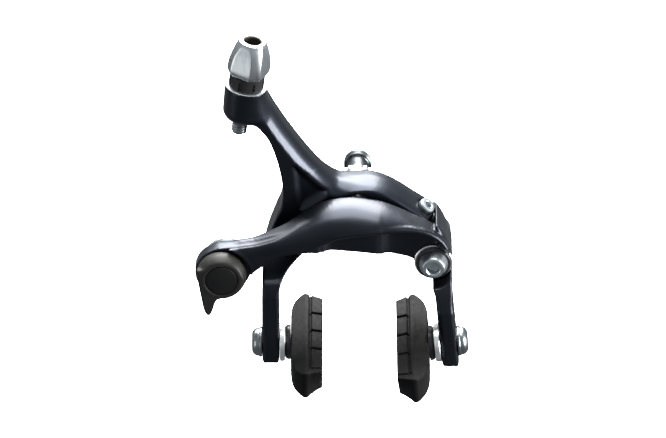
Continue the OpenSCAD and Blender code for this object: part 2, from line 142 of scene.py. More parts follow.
def cylinder_y(x, y, z, cx, cz, radius, y0, y1, edge):
    """Cylinder along Y with rounded rims."""
    side = np.sqrt((x - cx) ** 2 + (z - cz) ** 2) - radius
    ends = np.maximum(y0 - y, y - y1)
    return round_meet(side, ends, edge)


def bored(body, hole, where):
    """The body less a hole, given as depth inside the hole, only where the condition holds."""
    return np.where(where, np.maximum(body, hole), body)


CORNERS = np.array([(i, j, k) for i in (0, 1) for j in (0, 1) for k in (0, 1)])
CELL_EDGES = [
    (a, b)
    for a in range(8)
    for b in range(a + 1, 8)
    if np.abs(CORNERS[a] - CORNERS[b]).sum() == 1
]


def sample(values, points):
    """Trilinear reading of a grid at points given in grid steps."""
    top = np.array(values.shape) - 1.001
    p = np.clip(points, 0, top)
    base = p.astype(int)
    f = p - base
    out = np.zeros(len(p))
    for corner in CORNERS:
        i, j, k = (base + corner).T
        weight = np.prod(np.where(corner == 1, f, 1 - f), axis=1)
        out += weight * values[i, j, k]
    return out


def settle(values, points):
    """Moves points onto the zero surface of a grid."""
    rounds = 3
    for _ in range(rounds):
        level = sample(values, points)
        slope = np.stack(
            [sample(values, points + step) - sample(values, points - step) for step in np.eye(3) * 0.5],
            axis=1,
        )
        size = np.maximum((slope**2).sum(1), 1e-6)
        move = -slope * (level / size)[:, None]
        points = points + np.clip(move, -0.5, 0.5)
    return points


def surface(values, low, step):
    """Vertices and quads of the zero surface, by naive surface nets."""
    inside = values < 0
    cells = np.zeros(np.array(values.shape) - 1, np.int8)
    for i, j, k in CORNERS:
        nx, ny, nz = cells.shape
        cells += inside[i : i + nx, j : j + ny, k : k + nz]
    active = np.argwhere((cells > 0) & (cells < 8))
    corner_values = np.stack([values[tuple((active + c).T)] for c in CORNERS], axis=1)
    total = np.zeros((len(active), 3))
    count = np.zeros(len(active))
    for a, b in CELL_EDGES:
        va, vb = corner_values[:, a], corner_values[:, b]
        crossed = (va < 0) != (vb < 0)
        t = np.where(crossed, va / np.where(crossed, va - vb, 1), 0)
        spot = CORNERS[a] + t[:, None] * (CORNERS[b] - CORNERS[a])
        total += np.where(crossed[:, None], spot, 0)
        count += crossed
    points = settle(values, active + total / count[:, None])
    index = np.full(cells.shape, -1)
    index[tuple(active.T)] = np.arange(len(active))
    quads = []
    for axis in range(3):
        u, v = np.eye(3, dtype=int)[[(axis + 1) % 3, (axis + 2) % 3]]
        here = np.argwhere(np.diff(inside.astype(np.int8), axis=axis) != 0)
        keep = (here[:, (axis + 1) % 3] > 0) & (here[:, (axis + 2) % 3] > 0)
        here = here[keep]
        starts_inside = inside[tuple(here.T)]
        ring = np.stack([index[tuple((here - d).T)] for d in (u + v, v, 0 * u, u)], axis=1)
        ring[~starts_inside] = ring[~starts_inside][:, ::-1]
        quads.append(ring)
    return points * step + np.array(low), np.vstack(quads)


def axes(low, high, step):
    """Open grids of x, y and z, ready to broadcast."""
    lines = [np.arange(lo, hi + step, step) for lo, hi in zip(low, high)]
    return np.meshgrid(*lines, indexing="ij", sparse=True)


# ---------- meshes ----------


def put(name, verts, faces, sharp):
    """A smooth-shaded object from vertices in millimetres."""
    mesh = bpy.data.meshes.new(name)
    mesh.from_pydata([tuple(v) for v in np.array(verts) * MM], [], [tuple(f) for f in faces])
    mesh.validate()
    obj = bpy.data.objects.new(name, mesh)
    bpy.context.collection.objects.link(obj)
    smooth(obj, sharp)
    return obj


def smooth(obj, sharp):
    obj.data.polygons.foreach_set("use_smooth", [True] * len(obj.data.polygons))
    obj.data.set_sharp_from_angle(angle=math.radians(sharp))


def sculpted(name, field, low, high, step):
    """A smooth object from a distance function over a box."""
    x, y, z = axes(low, high, step)
    verts, faces = surface(np.array(field(x, y, z), np.float32), low, step)
    return put(name, verts, faces, 180)


def placed(obj, origin, direction):
    """Turns an object's local +Z to the direction and moves it to the origin."""
    turn = Vector(direction).to_track_quat("Z", "Y").to_matrix().to_4x4()
    obj.data.transform(Matrix.Translation(Vector(origin) * MM) @ turn)
    return obj


def lathe(name, profile, segments=72, sharp=35):
    """Turned piece from a closed loop of (radius, height) pairs; a radius may be a function of the angle."""
    verts, faces = [], []
    for i in range(segments):
        a = 2 * math.pi * i / segments
        for r, h in profile:
            size = r(a) if callable(r) else r
            verts.append((size * math.cos(a), size * math.sin(a), h))
    n = len(profile)
    for i in range(segments):
        j = (i + 1) % segments
        for k in range(n):
            m = (k + 1) % n
            faces.append((i * n + k, j * n + k, j * n + m, i * n + m))
    return solid(name, verts, faces, sharp)


def solid(name, verts, faces, sharp):
    """A smooth-shaded closed mesh without doubled points."""
    obj = put(name, verts, faces, sharp)
    tidy(obj)
    smooth(obj, sharp)
    return obj


def tidy(obj):
    """Welds doubled points and turns the faces outwards."""
    bm = bmesh.new()
    bm.from_mesh(obj.data)
    bmesh.ops.remove_doubles(bm, verts=bm.verts, dist=1e-6)
    bmesh.ops.dissolve_degenerate(bm, edges=bm.edges, dist=1e-7)
    bmesh.ops.recalc_face_normals(bm, faces=bm.faces)
    bm.to_mesh(obj.data)
    bm.free()


def prism(name, outline, height, bevel=0.0):
    """Flat outline raised along local Z, with its edges bevelled."""
    n, sharp = len(outline), 35
    verts = [(x, y, h) for h in (0, height) for x, y in outline]
    faces = [tuple(reversed(range(n))), tuple(range(n, 2 * n))]
    faces += [(i, (i + 1) % n, n + (i + 1) % n, n + i) for i in range(n)]
    obj = put(name, verts, faces, sharp)
    tidy(obj)
    if bevel:
        modify(obj, "BEVEL", width=bevel * MM, segments=3, limit_method="ANGLE",
               angle_limit=math.radians(30))
    smooth(obj, sharp)
    return obj


def modify(obj, kind, **settings):
    """Adds a modifier and applies it."""
    mod = obj.modifiers.new(kind, kind)
    for key, value in settings.items():
        setattr(mod, key, value)
    graph = bpy.context.evaluated_depsgraph_get()
    mesh = bpy.data.meshes.new_from_object(obj.evaluated_get(graph))
    obj.modifiers.clear()
    obj.data = mesh


def combine(obj, other, operation):
    """Takes the other solid away from the object, or unites them."""
    modify(obj, "BOOLEAN", operation=operation, object=other, solver="EXACT")
    bpy.data.objects.remove(other)
    smooth(obj, 35)


def threaded_rod(name, radius, length, depth, bore=0.0):
    """Rod with a helical thread along local Z, chamfered ends and, if it has a bore, a blind hole in each."""
    pitch, segments, rows_per_pitch = 1.0, 40, 8
    chamfer, hole_depth = 0.3, 1.5
    rows = int(length / pitch * rows_per_pitch) + 1
    turns = [2 * math.pi * i / segments for i in range(segments)]
    verts, faces = [], []
    for j in range(rows):
        h = length * j / (rows - 1)
        shrink = max(0.0, chamfer - min(h, length - h))
        for i, a in enumerate(turns):
            phase = (h / pitch - i / segments) % 1.0
            groove = depth * min(1.0, 2.6 * abs(phase - 0.5))
            r = radius - groove - shrink
            verts.append((r * math.cos(a), r * math.sin(a), h))
    for j in range(rows - 1):
        faces += band(j * segments, (j + 1) * segments, segments)
    rim = bore or 0.05
    for h, row, inward in ((0.0, 0, 1), (length, rows - 1, -1)):
        base = len(verts)
        bottom = h + inward * (hole_depth if bore else 0.0)
        verts += [(rim * math.cos(a), rim * math.sin(a), h) for a in turns]
        verts += [(0.98 * rim * math.cos(a), 0.98 * rim * math.sin(a), bottom) for a in turns]
        faces += band(row * segments, base, segments)
        faces += band(base, base + segments, segments)
        faces.append(tuple(range(base + segments, base + 2 * segments)))
    return solid(name, verts, faces, 50)


def band(first, second, count):
    """Quads between two rings of vertices that start at the given indices."""
    around = [(i, (i + 1) % count) for i in range(count)]
    return [(first + i, first + k, second + k, second + i) for i, k in around]


# ---------- materials ----------


class Shader:
    """Small helper that builds a node material."""

    def __init__(self, name):
        self.material = bpy.data.materials.new(name)
        self.material.use_nodes = True
        self.nodes = self.material.node_tree.nodes
        self.links = self.material.node_tree.links
        self.body = self.nodes["Principled BSDF"]
        coordinate = self.nodes.new("ShaderNodeTexCoord")
        self.place = coordinate.outputs["Object"]

    def set(self, **values):
        for key, value in values.items():
            self.body.inputs[key.replace("_", " ")].default_value = value

    def noise(self, scale, detail, stretch=(1, 1, 1)):
        mapping = self.nodes.new("ShaderNodeMapping")
        mapping.inputs["Scale"].default_value = stretch
        self.links.new(self.place, mapping.inputs["Vector"])
        node = self.nodes.new("ShaderNodeTexNoise")
        node.inputs["Scale"].default_value = scale
        node.inputs["Detail"].default_value = detail
        self.links.new(mapping.outputs["Vector"], node.inputs["Vector"])
        return node.outputs["Fac"]

    def spread(self, value, low, high, start=0.3, end=0.7):
        node = self.nodes.new("ShaderNodeMapRange")
        node.inputs["From Min"].default_value = start
        node.inputs["From Max"].default_value = end
        node.inputs["To Min"].default_value = low
        node.inputs["To Max"].default_value = high
        self.links.new(value, node.inputs["Value"])
        return node.outputs["Result"]

    def blend(self, factor, a, b):
        node = self.nodes.new("ShaderNodeMix")
        node.data_type = "RGBA"
        for socket, value in ((node.inputs[6], a), (node.inputs[7], b)):
            if isinstance(value, tuple):
                socket.default_value = (*value, 1)
            else:
                self.links.new(value, socket)
        self.links.new(factor, node.inputs[0])
        return node.outputs[2]

    def edges(self):
        """About 1 on worn outer edges and 0 elsewhere."""
        radius, low, high = 0.0008, 0.02, 0.12
        bevel = self.nodes.new("ShaderNodeBevel")
        bevel.inputs["Radius"].default_value = radius
        bevel.samples = 4
        geometry = self.nodes.new("ShaderNodeNewGeometry")
        dot = self.nodes.new("ShaderNodeVectorMath")
        dot.operation = "DOT_PRODUCT"
        self.links.new(bevel.outputs["Normal"], dot.inputs[0])
        self.links.new(geometry.outputs["Normal"], dot.inputs[1])
        return self.spread(dot.outputs["Value"], 1.0, 0.0, 1 - high, 1 - low)

    def colour(self, source):
        self.links.new(source, self.body.inputs["Base Color"])

    def roughness(self, source):
        self.links.new(source, self.body.inputs["Roughness"])

    def bump(self, source, distance, strength):
        node = self.nodes.new("ShaderNodeBump")
        node.inputs["Strength"].default_value = strength
        node.inputs["Distance"].default_value = distance
        self.links.new(source, node.inputs["Height"])
        self.links.new(node.outputs["Normal"], self.body.inputs["Normal"])


def satin_paint(name, dark, light):
    """Metallic satin paint under a thin clear coat."""
    s = Shader(name)
    s.set(Metallic=0.9, Coat_Weight=0.26, Coat_Roughness=0.26)
    flakes = s.noise(9000, 2.0)
    cloud = s.noise(60, 3.0)
    base = s.blend(s.spread(cloud, 0.0, 1.0), dark, light)
    s.colour(s.blend(s.spread(flakes, 0.0, 0.25), base, tuple(2.2 * c for c in light)))
    s.roughness(s.spread(cloud, 0.34, 0.42))
    s.bump(s.noise(2600, 2.0), 0.00002, 0.25)
    return s.material


def zinc(name, colour=(0.42, 0.46, 0.48), roughness=(0.34, 0.44)):
    """Bright zinc plate with faint clouding and turning marks."""
    s = Shader(name)
    s.set(Metallic=1.0)
    cloud = s.noise(220, 4.0)
    darker = tuple(0.86 * c for c in colour)
    s.colour(s.blend(s.spread(cloud, 0.0, 1.0), darker, colour))
    s.roughness(s.spread(s.noise(500, 3.0), *roughness))
    s.bump(s.noise(3000, 2.0), 0.000004, 0.2)
    return s.material


def polished(name):
    """Polished and clear-anodised alloy with fine drawn lines."""
    s = Shader(name)
    s.set(Metallic=1.0)
    grain = s.noise(900, 3.0, (1, 1, 0.05))
    s.colour(s.blend(s.spread(grain, 0.0, 1.0), (0.36, 0.385, 0.40), (0.46, 0.485, 0.50)))
    s.roughness(s.spread(grain, 0.27, 0.33))
    s.bump(grain, 0.000003, 0.2)
    return s.material


def plastic(name, colour, roughness=(0.38, 0.5)):
    """Moulded plastic with a fine grain."""
    s = Shader(name)
    s.set(Specular_IOR_Level=0.16)
    cloud = s.noise(90, 3.0)
    paler = tuple(1.35 * c for c in colour)
    s.colour(s.blend(s.spread(cloud, 0.0, 1.0), colour, paler))
    s.roughness(s.spread(s.noise(700, 3.0), *roughness))
    s.bump(s.noise(2400, 3.0), 0.00003, 0.35)
    return s.material


def rubber(name):
    """Matt moulded rubber."""
    s = Shader(name)
    s.set(Specular_IOR_Level=0.07)
    cloud = s.noise(120, 4.0)
    s.colour(s.blend(s.spread(cloud, 0.0, 1.0), (0.003, 0.003, 0.003), (0.007, 0.007, 0.0065)))
    s.roughness(s.spread(s.noise(800, 3.0), 0.5, 0.66))
    s.bump(s.noise(1800, 4.0), 0.00006, 0.5)
    return s.material


def worn_steel(name, colour, roughness):
    """Plain tumbled or blackened steel, brighter on its edges; its darkest copy is painted shade inside the
    knob's seat bore.
    """
    s = Shader(name)
    s.set(Metallic=1.0)
    cloud = s.noise(300, 4.0)
    base = s.blend(s.spread(cloud, 0.0, 1.0), tuple(0.8 * c for c in colour), colour)
    s.colour(s.blend(s.edges(), base, tuple(min(1.0, 1.5 * c) for c in colour)))
    s.roughness(s.spread(s.noise(600, 3.0), *roughness))
    s.bump(s.noise(2500, 3.0), 0.00003, 0.3)
    return s.material


RECIPES = {
    "front_paint": (satin_paint, (0.0070, 0.0088, 0.013), (0.0100, 0.0122, 0.017)),
    "rear_paint": (satin_paint, (0.0055, 0.0074, 0.012), (0.0080, 0.0104, 0.016)),
    "zinc_steel": (zinc,),
    "shaded_zinc": (zinc, (0.09, 0.10, 0.105), (0.26, 0.34)),
    # a darker copy of the zinc: painted shade that dims reflections on the stud and the shoe nuts
    "shade_darkened_zinc": (zinc, (0.22, 0.24, 0.25), (0.26, 0.34)),
    "polished_alloy": (polished,),
    "bare_face": (zinc, (0.40, 0.41, 0.43), (0.45, 0.55)),
    "bridge_steel": (worn_steel, (0.16, 0.165, 0.17), (0.35, 0.5)),
    # the next colour is painted shade, for the dark sleeve inside the knob's seat bore
    "painted_bore_shade": (worn_steel, (0.07, 0.065, 0.055), (0.55, 0.7)),
    "bearing_bronze": (worn_steel, (0.55, 0.38, 0.17), (0.35, 0.5)),
    "black_plastic": (plastic, (0.014, 0.014, 0.014)),
    "lever_plastic": (plastic, (0.012, 0.012, 0.011), (0.42, 0.52)),
    "cap_plastic": (plastic, (0.005, 0.005, 0.005), (0.46, 0.58)),
    "slider_nylon": (plastic, (0.016, 0.016, 0.017)),
    "shoe_rubber": (rubber,),
    "washer_black": (plastic, (0.022, 0.022, 0.024), (0.25, 0.35)),
    "washer_steel": (worn_steel, (0.80, 0.82, 0.83), (0.3, 0.42)),
}
MATERIALS = {name: build(name, *settings) for name, (build, *settings) in RECIPES.items()}


def finish_piece(obj, body, slot, nodes=(), material=None):
    """Gives a piece its material, its CAD body and the nodes it stands for."""
    obj.data.materials.clear()
    obj.data.materials.append(MATERIALS[material or slot])
    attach(obj, body)
    if nodes:
        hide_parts(*nodes)


# ---------- rear arm ----------

REAR_TOP = spline(
    [(27.4, -6.2), (26.8, -4.4), (24, -1.7), (20, 1.2), (14.5, 5.2), (9.6, 8), (4.5, 9.5), (-1.5, 9.3),
     (-6.5, 9.5), (-10.8, 12), (-14.6, 15.8), (-19, 21.8), (-25, 31.2), (-29.6, 39.6), (-32.4, 45.6),
     (-33.8, 49.2)]
)
REAR_OUTLINE = np.vstack(
    [
        spline([(-36.5, 43), (-36.2, 36.5), (-32.3, 30.2), (-30.2, 25), (-28.2, 17.3), (-26.9, 8.5),
                (-27.3, 1.5), (-29.1, -3.4), (-31.6, -10.5), (-33.7, -18), (-34.3, -26), (-34.3, -55.2)]),
        [(-28.1, -55.2)],
        spline([(-28.1, -26), (-27.4, -22.4), (-25.3, -19.5), (-22, -17.1), (-18, -15), (-13, -13.6),
                (-7, -12.6), (1, -11.8), (7, -9.6), (13, -8.4), (20, -8.8), (25, -9)]),
        REAR_TOP,
    ]
)
BELOW_REAR_TOP = np.vstack([REAR_TOP, [(-34, 90), (-90, 90), (-90, -90), (60, -90), (60, -6.2)]])
REAR_PROFILE = np.vstack(
    [
        spline([(-9.5, 50), (-7.6, 34), (-6.1, 18)]),
        spline([(-6.1, 10), (-6.1, -10)]),
        spline([(-6.4, -12), (-9.5, -18), (-22, -29.5), (-23, -33)]),
        [(-23, -55.2), (-35, -55.2)],
        spline([(-35, -27), (-34.2, -23), (-32.4, -20.9), (-19.5, -13.3), (-18.1, -11), (-18, -8)]),
        spline([(-18, 8), (-18.2, 14), (-20, 32), (-22, 50)]),
    ]
)
REAR_FRONT = curve_over([(-60, -18), (8, -18), (14, -18.2), (32, -20), (50, -22), (60, -23)])
WEB_POCKET = spline(
    [(-22.6, 17.5), (-21.8, 8), (-20.9, 1.4), (-19, 0.6), (-11.5, 6.4), (-14, 9.2), (-22.6, 17.5)]
)
RIDGE_CUT = 3.0
BOSS_UPRIGHT = 0.061
LIMB_SLOPE, LIMB_BAND_Y = 0.20, -9.7
POCKET_FLOOR_Y = -16.1
BUSHING_SHELF_Y = -14.0
SCREW_HEAD_R, SCREW_HEAD_BASE, SCREW_BORE_R = 3.3, -1.8, 1.6


def along_adjuster(x, y, z):
    """Height along the adjuster's axis and distance from it."""
    dx, dy, dz = x - ADJUSTER.x, y - ADJUSTER.y, z - ADJUSTER.z
    height = dx * ADJUSTER_UP.x + dz * ADJUSTER_UP.z
    across = dx * ADJUSTER_UP.z - dz * ADJUSTER_UP.x
    return height, np.sqrt(across**2 + dy**2)


def along_screw(x, y, z):
    """Height along the centring screw's axis and distance from it."""
    dx, dy, dz = x - SCREW.x, y - SCREW.y, z - SCREW.z
    height = dx * SCREW_UP.x + dy * SCREW_UP.y + dz * SCREW_UP.z
    return height, np.sqrt(np.maximum(dx**2 + dy**2 + dz**2 - height**2, 0))


def rear_arm_field(x, y, z):
    """Rear arm: upper limb, adjuster boss, centre pivot and both lower limbs."""
    # the top of the right limb falls away in front of a flat band at the back
    right_limb = ease(x, -9, 3)
    flat = outline_distance(x, z, REAR_OUTLINE)
    from_top = outline_distance(x, z, BELOW_REAR_TOP)
    top = from_top + LIMB_SLOPE * np.clip(LIMB_BAND_Y - y, 0, None) * right_limb
    # along the upper limb the front corner of that top edge is cut back to a ridge
    ridge = (from_top + REAR_FRONT(z) - y) / math.sqrt(2) + RIDGE_CUT * (1 - 0.85 * right_limb)
    body = round_meet(flat, round_meet(top, ridge, 2.6), 0.6)
    # the leg's front face is gently crowned
    corner = 0.45 + 1.3 * ease(-z, 19, 26)
    body = round_meet(body, outline_distance(y, z, REAR_PROFILE), corner)
    height, radius = along_adjuster(x, y, z)
    # the boss stands a little more upright than the stud
    aside = (x - ADJUSTER.x) * ADJUSTER_UP.z - (z - ADJUSTER.z) * ADJUSTER_UP.x + BOSS_UPRIGHT * height
    wall = np.sqrt(aside**2 + (y - ADJUSTER.y) ** 2) - BOSS_R
    boss = round_meet(wall, -BOSS_H - height, 3.6)
    body = round_join(np.maximum(body, height + 0.4), np.maximum(boss, height), 2.6)
    body = np.maximum(body, height + 0.15)
    pocket = round_meet(outline_distance(x, z, WEB_POCKET), y - POCKET_FLOOR_Y, 2.4)
    body = round_meet(body, -pocket, 1.8)
    bore = np.sqrt(x**2 + z**2)
    body = np.maximum(body, BUSHING_R - bore)
    body = np.maximum(body, -np.maximum(bore - RECESS_R, y - BUSHING_SHELF_Y))
    body = np.maximum(body, STUD_R + 0.12 - radius)
    up, away = along_screw(x, y, z)
    body = round_meet(body, -np.maximum(away - SCREW_HEAD_R, SCREW_HEAD_BASE - up), 0.25)
    body = bored(body, SCREW_BORE_R - away, x >= 10)
    return bored(body, -left_slot(y, z), x <= -20)


def left_slot(y, z):
    """The height slot in the left leg."""
    up = np.clip(z - LEFT_SHOE.z, 0, SHOE_TRAVEL)
    return np.sqrt((y - LEFT_SHOE.y) ** 2 + (z - LEFT_SHOE.z - up) ** 2) - SLOT_R


def make_rear_arm():
    obj = sculpted("rear_arm_skin", rear_arm_field, (-49, -37, -56), (30, -4, 53), 0.45)
    finish_piece(obj, "rear_arm_body", "rear_paint", ["rear_arm"])
    inner, outer = 3.1, BOSS_R - 0.03
    rows = [(inner, -0.25), (outer, -0.25), (outer, -0.12), (BOSS_R - 0.18, 0.0), (inner, 0.0)]
    face = placed(lathe("boss_face", rows, 96), ADJUSTER, ADJUSTER_UP)
    finish_piece(face, "rear_arm_body", "rear_paint", [], "bare_face")


# ---------- front arm ----------

# heights over X: crown's top edge, bead along its front edge, and underside
TOP = curve_over(
    [(-60, -12), (-48.7, -9.3), (-42.8, -7.5), (-36.5, -6.5), (-31.3, -5), (-25.8, -2.9), (-20, 0.4),
     (-13.1, 4), (-6.8, 5.7), (-0.4, 6), (7.9, 4.6), (14.5, 1.9), (20.75, -1.4), (25.9, -4.2), (29.4, -6.9),
     (31.8, -10.6), (34, -18)]
)
BEAD = curve_over(
    [(-60, -27), (-44, -25), (-40.2, -21), (-36.3, -16.9), (-31.3, -13.3), (-25.3, -10), (-17, -7.6),
     (-12, -5.4), (-7.25, -3.2), (0, -2.1), (5.4, -1.6), (12.2, -1.6), (19, -2.7), (24.2, -4.3),
     (28.25, -7.0), (31, -10.3), (33, -13.0), (36, -18)]
)
LOWER = curve_over(
    [(-60, -27), (-44, -25), (-40.2, -21), (-36.3, -17), (-31.3, -13.6), (-25.3, -10.8), (-17, -9.8),
     (-10, -10.6), (-3.2, -11.3), (3.7, -12), (8.8, -13.2), (13.9, -15), (19.5, -17), (25, -22), (30, -27),
     (36, -30)]
)
# depths over X: back face, front edge, and the face recessed under the bead
BACK = curve_over(
    [(-60, -25.5), (-40, -25.5), (-34, -24.2), (-20, -20.4), (-13, -19.1), (12, -19), (36, -19)]
)
FRONT = curve_over(
    [(-60, -33.1), (-44, -33.1), (-34, -33), (2, -33), (10, -31.8), (20, -28.9), (28, -27.4), (36, -26.9)]
)
RECESS = curve_over(
    [(-60, -33.5), (-20, -33.2), (-13, -31.5), (-9, -29), (4, -28.9), (8, -28), (14, -24.6), (36, -24.1)]
)
# how boxy the crown's section is over X, and how thick its lip
CURL = curve_over(
    [(-60, 9), (-34, 7), (-26, 4.6), (-18, 3.2), (-8, 2.2), (3, 2.0), (14, 2.2), (24, 3.0), (36, 3.0)]
)
LIP = curve_over(
    [(-60, 0.05), (-14, 0.1), (-10, 0.5), (-4, 0.5), (2, 0.3), (8, 0.8), (16, 1.0), (28, 1.0), (36, 0.8)]
)


def slope_of(curve, x):
    """How much longer the curve is than its run along X, at each x."""
    line = x[:, 0, 0]
    return np.sqrt(1 + np.gradient(curve(line), line)[:, None, None] ** 2)


def crown_field(x, y, z):
    """The front arm's curved crown, hollow below its front edge."""
    top, bead, low = TOP(x), BEAD(x), LOWER(x)
    back, front, recess, curl, lip = BACK(x), FRONT(x), RECESS(x), CURL(x), LIP(x)
    depth = back - front
    rise = np.maximum(top - bead, 0.8)
    u = np.clip((back - y) / depth, 0, None)
    v = np.clip((z - bead) / rise, 0, None)
    bulge = ((u**curl + v**curl) ** (1 / curl) - 1) * np.minimum(depth, rise)
    shell = round_meet(bulge / slope_of(TOP, x), (z - top) / slope_of(TOP, x), 0.3)
    shell = round_meet(shell, y - back, 0.8)
    # lip along the lower edge of the crown, thick only where lip is large
    across = (z - bead - 0.3) / slope_of(BEAD, x)
    edge = np.sqrt((y - front - 0.75) ** 2 + across**2) - 0.9 * lip
    shell = round_join(shell, edge, 0.8)
    shell = round_meet(shell, (low - z) / slope_of(LOWER, x), 0.8)
    hollow = np.maximum((z - bead + 0.7) / slope_of(BEAD, x), y - recess)
    shell = round_meet(shell, -hollow, 0.4)
    # shallow channel just behind the front edge of the left limb
    dip = 0.75 * ease(x, -49, -42) * (1 - ease(x, -31, -22))
    behind_edge, width = 2.9, 4.2
    channel = np.sqrt((y - front - behind_edge) ** 2 + (z - top - width + dip) ** 2) - width
    shell = round_meet(shell, -channel, 0.3)
    ends = np.maximum(ANCHOR_X - 2 - x, x - 33.3)
    return round_meet(shell, ends, 0.8)


LEG_OUTLINE = np.vstack(
    [
        spline([(30.6, -8), (31.8, -10.6), (33.1, -16), (33.6, -22), (33.9, -28.5)]),
        [(36.6, -56.7), (30.37, -56.7)],
        spline([(27.66, -28.5), (26.6, -25.4), (24, -21), (21, -17)]),
    ]
)
LEG_PROFILE = np.vstack(
    [
        [(-19, -8), (-19, -22)],
        spline([(-19.6, -25), (-22.6, -33), (-23, -37)]),
        [(-23, -56.7), (-35, -56.7), (-35, -40)],
        spline([(-34.6, -34), (-32.6, -27), (-29.4, -21), (-27.2, -15), (-26.9, -8)]),
    ]
)
SHOULDER = np.vstack(
    [
        spline([(27.8, -3.2), (28.8, -4.4), (30.4, -7.2), (31.9, -10.8), (33.1, -16), (33.6, -21)]),
        [(29, -21), (24, -14), (27.5, -9.4)],
    ]
)


def right_slot(x, y, z):
    """The height slot in the leaning right leg."""
    dx, dy, dz = x - RIGHT_SHOE.x, y - RIGHT_SHOE.y, z - RIGHT_SHOE.z
    height = -dx * math.sin(LEG_LEAN) + dz * math.cos(LEG_LEAN)
    return np.sqrt(dy**2 + (height - np.clip(height, 0, SHOE_TRAVEL)) ** 2) - SLOT_R


SIDE_BOSS_R, SIDE_SEAT_R, SIDE_SEAT_Y = 6.75, 7.3, -24.1
ANCHOR_R, ANCHOR_FACE_Y = 9.5, -33.1
LEVER_WELL_R, LEVER_WELL_Y = 10.4, -30.85


def front_arm_field(x, y, z):
    """Front arm: crown, right leg, shoulder, side pivot and anchor end."""
    body = crown_field(x, y, z)
    corner = 0.9 + 0.9 * ease(-z, 26, 32)
    leg = round_meet(outline_distance(x, z, LEG_OUTLINE), outline_distance(y, z, LEG_PROFILE), corner)
    body = round_join(body, leg, 1.2)
    shoulder = round_meet(outline_distance(x, z, SHOULDER), np.maximum(-24 - y, y + 6.9), 0.8)
    body = round_join(body, shoulder, 1.0)
    side = cylinder_y(x, y, z, SIDE_X, SIDE_Z, SIDE_BOSS_R, SIDE_SEAT_Y, -6.1, 0.4)
    body = round_join(body, side, 1.0)
    anchor = cylinder_y(x, y, z, ANCHOR_X, ANCHOR_Z, ANCHOR_R, ANCHOR_FACE_Y, -25.5, 0.5)
    body = round_join(body, anchor, 2.5)
    away = np.sqrt((x - SIDE_X) ** 2 + (z - SIDE_Z) ** 2)
    body = round_meet(body, -np.maximum(away - SIDE_SEAT_R, y - SIDE_SEAT_Y), 0.4)
    body = np.maximum(body, BUSHING_R - away)
    bush = np.sqrt((x - ANCHOR_X) ** 2 + (z - ANCHOR_Z) ** 2)
    body = round_meet(body, -np.maximum(bush - LEVER_WELL_R, y - LEVER_WELL_Y), 0.3)
    body = np.maximum(body, RECESS_R - bush)
    return bored(body, -right_slot(x, y, z), x >= 20)


def make_front_arm():
    obj = sculpted("front_arm_skin", front_arm_field, (-60, -37, -57.5), (39, -5, 8.5), 0.45)
    finish_piece(obj, "front_arm_body", "front_paint", ["front_arm"])


# ---------- adjuster ----------

KNOB_BASE, KNOB_TOP, SEAT_R = 5.0, 18.3, 3.2
KNOB_FLATS, KNOB_FIRST_FLAT = 4, math.radians(-117)


def knob_radius(body, height):
    """Radius at a height, as a function of angle: a domed cone cut by gently curved flats."""
    # half the angle that a flat spans, over height
    half = math.radians(np.interp(height, [5.0, 7.0, 9.0, 13.0, 16.0, 18.2], [24, 29, 31, 30, 25, 14]))
    flat = body * math.cos(half)
    step = 2 * math.pi / KNOB_FLATS

    def radius(angle):
        off = (angle - KNOB_FIRST_FLAT + step / 2) % step - step / 2
        chord = flat / math.cos(off)
        soft = 0.12
        near = max(soft - abs(body - chord), 0) / soft
        return min(body, chord) - near * near * soft / 4

    return radius


def make_adjuster():
    bore, dome_end = STUD_R + 0.1, 18.15
    wall = curve_over([(5.0, 6.4), (5.35, 6.9), (6.2, 7.4), (7.2, 7.68), (9.5, 7.62), (13, 6.95), (15.5, 6.1),
                       (17, 5.45), (17.9, 4.95), (dome_end, 4.8)])
    heights = np.linspace(KNOB_BASE, dome_end, 40)
    profile = [(bore, KNOB_BASE)] + [(knob_radius(float(wall(h)), h), h) for h in heights]
    profile += [(4.6, KNOB_TOP - 0.05), (4.4, KNOB_TOP), (SEAT_R + 0.2, KNOB_TOP), (SEAT_R, KNOB_TOP - 0.2),
                (SEAT_R, STUD_TOP), (bore, STUD_TOP)]
    knob = placed(lathe("knob_skin", profile, 180, 30), ADJUSTER, ADJUSTER_UP)
    finish_piece(knob, "knob_body", "polished_alloy", ["adjuster_knob"])
    # a thin dark sleeve inside the knob's seat bore: painted shade that darkens the hole
    inner, outer, low = SEAT_R - 0.16, SEAT_R - 0.02, STUD_TOP + 0.06
    seat = [(inner, low), (outer, low), (outer, KNOB_TOP - 0.35), (inner, KNOB_TOP - 0.5)]
    liner = placed(lathe("seat_shade_sheet", seat), ADJUSTER, ADJUSTER_UP)
    finish_piece(liner, "knob_body", "zinc_steel", [], "painted_bore_shade")

    bore, wall, notch, notches = STUD_R + 0.17, 6.32, 0.5, 8

    def notched(a):
        return wall - notch * (abs((a * notches / (2 * math.pi)) % 1 - 0.5) < 0.09)

    rows = [(bore, 0.05), (6.2, 0.05), (wall, 0.25), (wall, 0.7), (notched, 0.75), (notched, 3.6),
            (wall, 3.65), (wall, 4.7), (6.1, 4.95), (bore, 4.95)]
    collar = placed(lathe("collar_skin", rows, 180, 30), ADJUSTER, ADJUSTER_UP)
    finish_piece(collar, "rear_arm_body", "black_plastic", ["adjuster_collar"])
    # the stud wears the darker copy of the zinc, painted shade between its thread highlights
    stud = threaded_rod("stud_skin", STUD_R, STUD_TOP - STUD_LOW, 0.42, 1.1)
    placed(stud, ADJUSTER + STUD_LOW * ADJUSTER_UP, ADJUSTER_UP)
    finish_piece(stud, "stud_body", "zinc_steel", ["adjuster_stud"], "shade_darkened_zinc")


# ---------- turned fasteners on the bolts ----------

BOLT_R, BORE_R = 2.98, 3.05


